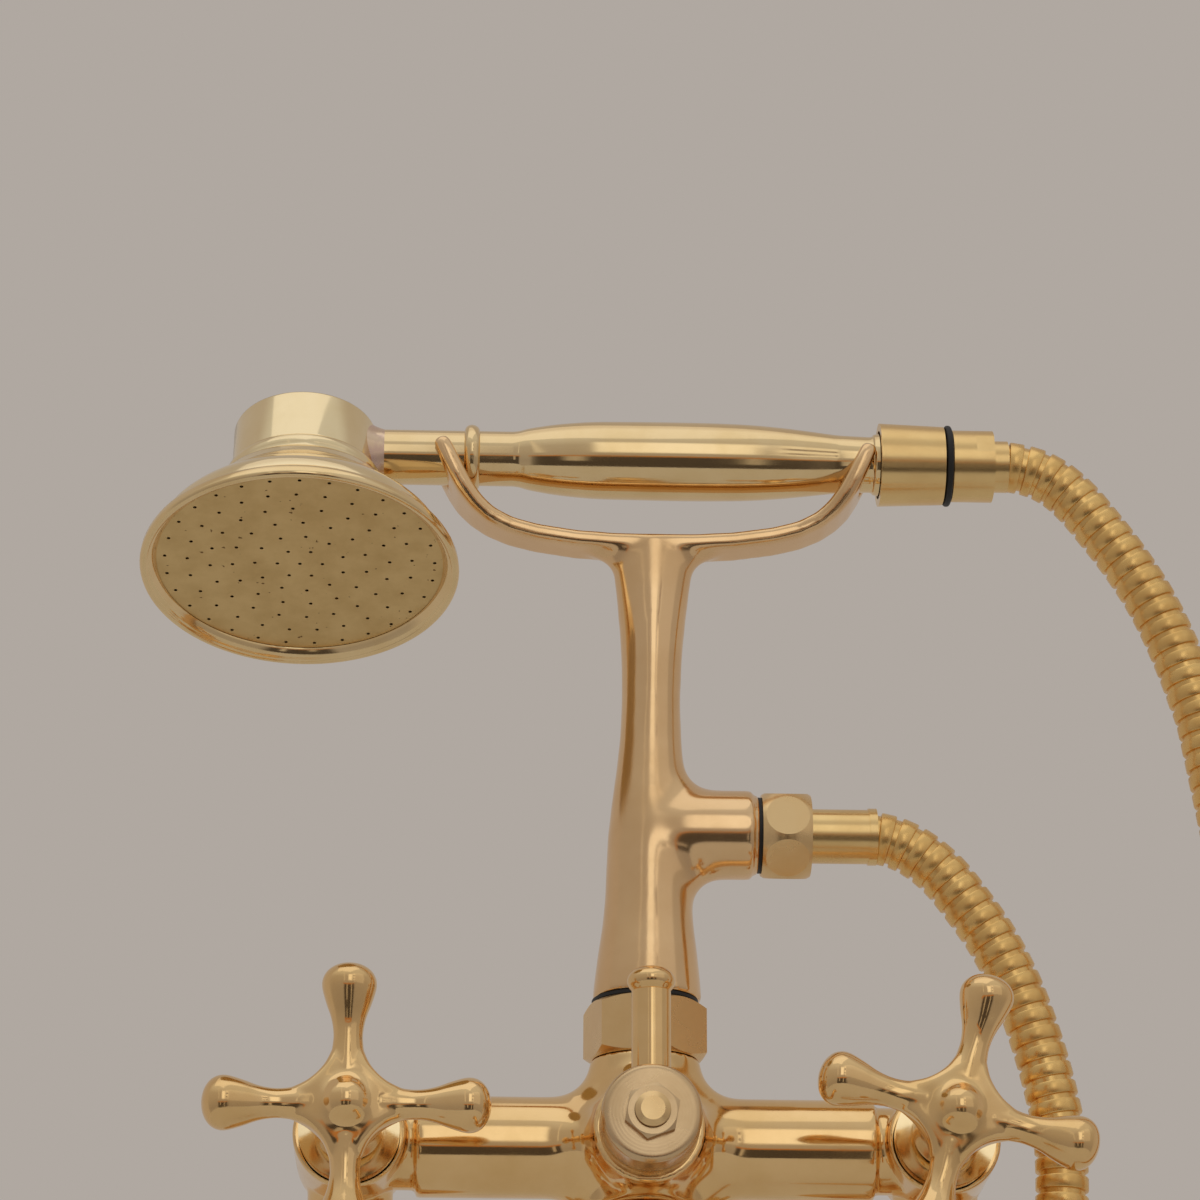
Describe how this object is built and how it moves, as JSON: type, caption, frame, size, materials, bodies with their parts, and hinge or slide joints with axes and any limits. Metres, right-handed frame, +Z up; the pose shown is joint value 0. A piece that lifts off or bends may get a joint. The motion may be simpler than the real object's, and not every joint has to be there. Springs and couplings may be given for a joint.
{
  "type": "bath shower mixer",
  "caption": "Wall-mounted two-handle bath shower mixer in polished brass with a lever diverter, a swinging spout and a hand shower lying in a cradle on a ribbed hose.",
  "frame": {"origin": "on the wall plane, midway between the two inlet threads", "axes": "+X to the right seen from the front, +Y into the wall, +Z up"},
  "size_m": [0.3629, 0.1985, 0.6257],
  "materials": {
    "polished_brass": "polished",
    "satin_brass": "satin",
    "plate_brass": "matte",
    "hose_brass": "satin",
    "rubber": "matte",
    "plastic": "matte"
  },
  "bodies": {
    "mixer": {"valve_body": "polished_brass", "hot_bonnet": "satin_brass", "cold_bonnet": "satin_brass", "hot_gland_ring": "rubber", "cold_gland_ring": "rubber", "diverter_bonnet": "satin_brass", "riser_nut": "satin_brass", "riser_seal": "rubber", "riser_washer": "rubber", "riser": "polished_brass", "outlet_washer": "rubber", "hose_nut": "satin_brass", "hose_ferrule_lower": "satin_brass", "shower_hose": "hose_brass", "spout_nut": "satin_brass", "spout_seal": "rubber", "left_wall_elbow": "polished_brass", "right_wall_elbow": "polished_brass", "left_union_nut": "satin_brass", "right_union_nut": "satin_brass", "left_union_washer": "rubber", "right_union_washer": "rubber", "left_wall_flange": "polished_brass", "right_wall_flange": "polished_brass"},
    "hot_control": {"hot_spindle": "satin_brass", "hot_handle": "polished_brass", "hot_grub_screw": "satin_brass"},
    "hot_valve_set": {"hot_jumper": "satin_brass", "hot_jumper_washer": "rubber"},
    "cold_control": {"cold_spindle": "satin_brass", "cold_handle": "polished_brass", "cold_grub_screw": "satin_brass"},
    "cold_valve_set": {"cold_jumper": "satin_brass", "cold_jumper_washer": "rubber"},
    "diverter": {"diverter_plug": "satin_brass", "diverter_hub": "satin_brass", "lever_rod": "polished_brass", "diverter_nut": "satin_brass"},
    "spout_set": {"spout": "polished_brass", "aerator_ring": "polished_brass", "aerator_insert": "plastic"},
    "hose_end": {"swivel_sleeve": "satin_brass", "swivel_o_ring": "rubber", "hose_ferrule_upper": "satin_brass"},
    "handset": {"swivel_nut": "satin_brass", "handset_handle": "polished_brass", "handset_collar": "polished_brass", "solder_bead": "polished_brass", "rose_shell": "polished_brass", "rose_cap": "polished_brass", "rose_face": "plate_brass", "rose_rim": "polished_brass"}
  },
  "joints": [
    {"name": "hot_turn", "type": "hinge", "parent": "mixer", "child": "hot_control", "pos_m": [-0.085, -0.068, 0.082], "axis": [0, -1, 0], "range_deg": [0, 450]},
    {"name": "hot_lift", "type": "slide", "parent": "mixer", "child": "hot_valve_set", "axis": [0, -1, 0], "range_m": [0, 0.004]},
    {"name": "cold_turn", "type": "hinge", "parent": "mixer", "child": "cold_control", "pos_m": [0.085, -0.068, 0.082], "axis": [0, -1, 0], "range_deg": [0, 450]},
    {"name": "cold_lift", "type": "slide", "parent": "mixer", "child": "cold_valve_set", "axis": [0, -1, 0], "range_m": [0, 0.004]},
    {"name": "diverter_turn", "type": "hinge", "parent": "mixer", "child": "diverter", "pos_m": [0, -0.068, 0.082], "axis": [0, 1, 0], "range_deg": [0, 180]},
    {"name": "spout_swing", "type": "hinge", "parent": "mixer", "child": "spout_set", "pos_m": [0, -0.068, 0.032], "axis": [0, 0, 1], "range_deg": [-60, 60]},
    {"name": "handset_lift", "type": "slide", "parent": "mixer", "child": "hose_end", "axis": [0, 0, 1], "range_m": [0, 0.016], "deforming": ["shower_hose"]},
    {"name": "handset_roll", "type": "hinge", "parent": "hose_end", "child": "handset", "pos_m": [0.088, -0.068, 0.297], "axis": [1, 0, 0], "continuous": true}
  ],
  "couplings": [
    {"joint": "hot_lift", "follows": "hot_turn", "m_per_rad": 0.000509},
    {"joint": "cold_lift", "follows": "cold_turn", "m_per_rad": 0.000509}
  ]
}
